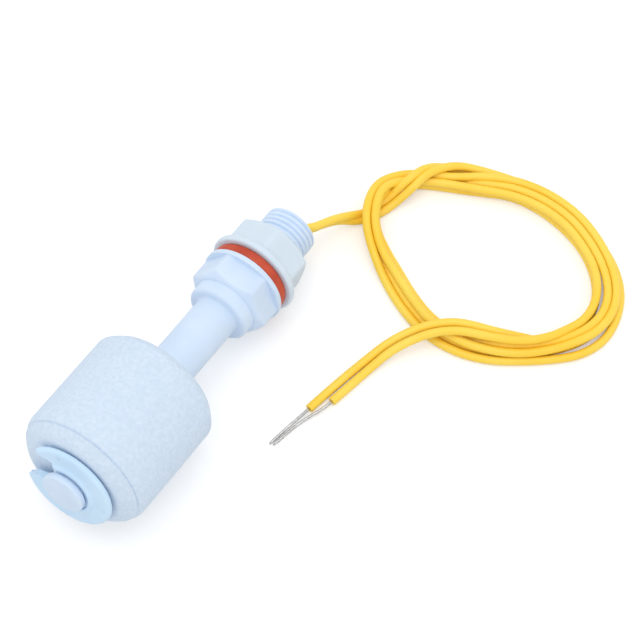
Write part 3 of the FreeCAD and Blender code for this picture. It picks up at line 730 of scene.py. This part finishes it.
def clip_section():
    """Closed outline across the clip's arm: flat back, raised inner rim, flat face, rounded edge."""
    return soften([
        (4.9, CLIP_BACK, 0), (3.42, CLIP_BACK, 0), (3.42, 0.5, 0.05), (4.0, 0.5, 0), (4.25, 0.5, 0.04),
        (4.3, 0.92, 0.1), (4.95, 0.9, 0.2), (5.3, 0.5, 0.25), (6.2, 0.47, 0), (7.0, 0.46, 0),
        (7.85, 0.42, 0.3), (8.15, 0.05, 0.15), (8.1, CLIP_BACK, 0.15), (6.2, CLIP_BACK, 0),
        (4.9, CLIP_BACK, 0),
    ])[:-1]


def make_clip():
    """Split clip, pressed into the groove a little askew, with a raised rim and two small marks."""
    section = clip_section()
    mesh = bmesh.new()
    loops = []
    for step in range(CLIP_STEPS + 1):
        loop = []
        for radius, height in section:
            start = between(CLIP_UPPER_END, radius)
            turn = (between(CLIP_LOWER_END, radius) + 360 - start) * (step / CLIP_STEPS)
            loop.append(mesh.verts.new(polar(radius, start + turn, -height)))
        loops.append(loop)
    for first, second in zip(loops, loops[1:]):
        for number in range(len(section)):
            following = (number + 1) % len(section)
            mesh.faces.new((first[number], first[following], second[following], second[number]))
    mesh.faces.new(loops[0])
    mesh.faces.new(loops[-1][::-1])
    for radius, degrees in CLIP_MARKS:
        place = Matrix.Translation(polar(radius, degrees, -MARK_HEIGHT))
        bmesh.ops.create_uvsphere(mesh, u_segments=16, v_segments=8, radius=MARK_RADIUS * MM,
                                  matrix=place @ Matrix.Diagonal((1, 1, MARK_FLATNESS, 1)))
    tilt = Matrix.Rotation(math.radians(CLIP_TILT), 4, CLIP_TILT_AXIS)
    mesh.transform(Matrix.Translation((0, 0, CLIP_PLACE * MM)) @ tilt)
    finish_piece(close_mesh("split_clip", mesh), "housing", "clip_plastic", "retaining_clip")


make_stem()
make_nut()
make_clip()
make_gasket()
make_float()

# ---------------------------------------------------------------- carried-over CAD nodes


def paint(node, slot):
    """Gives a CAD node its procedural material."""
    piece = frame["nodes"][node]
    piece.data.materials.clear()
    piece.data.materials.append(MATERIALS[slot])
    for face in piece.data.polygons:
        face.use_smooth = True


replaced = {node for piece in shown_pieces() for node in piece.get("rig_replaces", [])}
for part in frame["record"]["subparts"]:
    if part["node"] not in replaced:
        paint(part["node"], part["material_slot"])

# ---------------------------------------------------------------- floor and light


FLOOR_HALF = 3.0        # of its side, in metres
FLOOR_DROP = 0.00002    # below the object, so that their faces don't coincide
FLOOR_COLOR = (0.80, 0.80, 0.80)
FLOOR_GLOW = 0.30       # added for the camera alone, so that the floor looks white
FILL_STRENGTH = 0.93
KEY_PLACE = (-0.04, -0.02, 0.68)
KEY_SIZE = 0.45
KEY_POWER = 0.85


def make_floor():
    """Plain white floor that keeps the object's shadow and looks white to the camera."""
    half = FLOOR_HALF
    corners = [(-half, -half, 0), (half, -half, 0), (half, half, 0), (-half, half, 0)]
    data = bpy.data.meshes.new("floor")
    data.from_pydata(corners, [], [(0, 1, 2, 3)])
    floor = link("floor", data)
    floor.location = (0, 0, -FLOOR_DROP)
    material, tree, shader = new_material("white_floor", FLOOR_COLOR, 0.9)
    shader.inputs["Specular IOR Level"].default_value = 0
    rays = tree.nodes.new("ShaderNodeLightPath")
    glow = tree.nodes.new("ShaderNodeEmission")
    seen = tree.nodes.new("ShaderNodeMath")
    seen.operation = "MULTIPLY"
    seen.inputs[1].default_value = FLOOR_GLOW
    total = tree.nodes.new("ShaderNodeAddShader")
    tree.links.new(rays.outputs["Is Camera Ray"], seen.inputs[0])
    tree.links.new(seen.outputs["Value"], glow.inputs["Strength"])
    tree.links.new(shader.outputs["BSDF"], total.inputs[0])
    tree.links.new(glow.outputs["Emission"], total.inputs[1])
    tree.links.new(total.outputs["Shader"], tree.nodes["Material Output"].inputs["Surface"])
    data.materials.append(material)


def make_world():
    """Even white surroundings, at full white where they are seen directly, mirrored or through glass."""
    world = bpy.data.worlds.new("studio")
    bpy.context.scene.world = world
    world.use_nodes = True
    tree = world.node_tree
    fill = tree.nodes["Background"]
    fill.inputs["Color"].default_value = (1, 1, 1, 1)
    fill.inputs["Strength"].default_value = FILL_STRENGTH
    white = tree.nodes.new("ShaderNodeBackground")
    white.inputs["Strength"].default_value = 1
    rays = tree.nodes.new("ShaderNodeLightPath")
    mix = tree.nodes.new("ShaderNodeMixShader")
    seen = rays.outputs["Is Camera Ray"]
    for kind in ("Is Glossy Ray", "Is Transmission Ray"):
        either = tree.nodes.new("ShaderNodeMath")
        either.operation = "MAXIMUM"
        tree.links.new(seen, either.inputs[0])
        tree.links.new(rays.outputs[kind], either.inputs[1])
        seen = either.outputs["Value"]
    tree.links.new(seen, mix.inputs["Fac"])
    tree.links.new(fill.outputs["Background"], mix.inputs[1])
    tree.links.new(white.outputs["Background"], mix.inputs[2])
    tree.links.new(mix.outputs["Shader"], tree.nodes["World Output"].inputs["Surface"])


def make_lamp(name, place, size, power):
    """Square soft lamp that faces the middle of the object."""
    lamp = bpy.data.lights.new(name, "AREA")
    lamp.shape = "SQUARE"
    lamp.size = size
    lamp.energy = power
    holder = link(name, lamp)
    holder.location = place
    middle = (cad_box[0] + cad_box[1]) / 2
    holder.rotation_mode = "QUATERNION"
    holder.rotation_quaternion = (middle - Vector(place)).to_track_quat("-Z", "Y")


make_floor()
make_world()
make_lamp("key_lamp", KEY_PLACE, KEY_SIZE, KEY_POWER)

bpy.context.scene.view_settings.view_transform = "Standard"
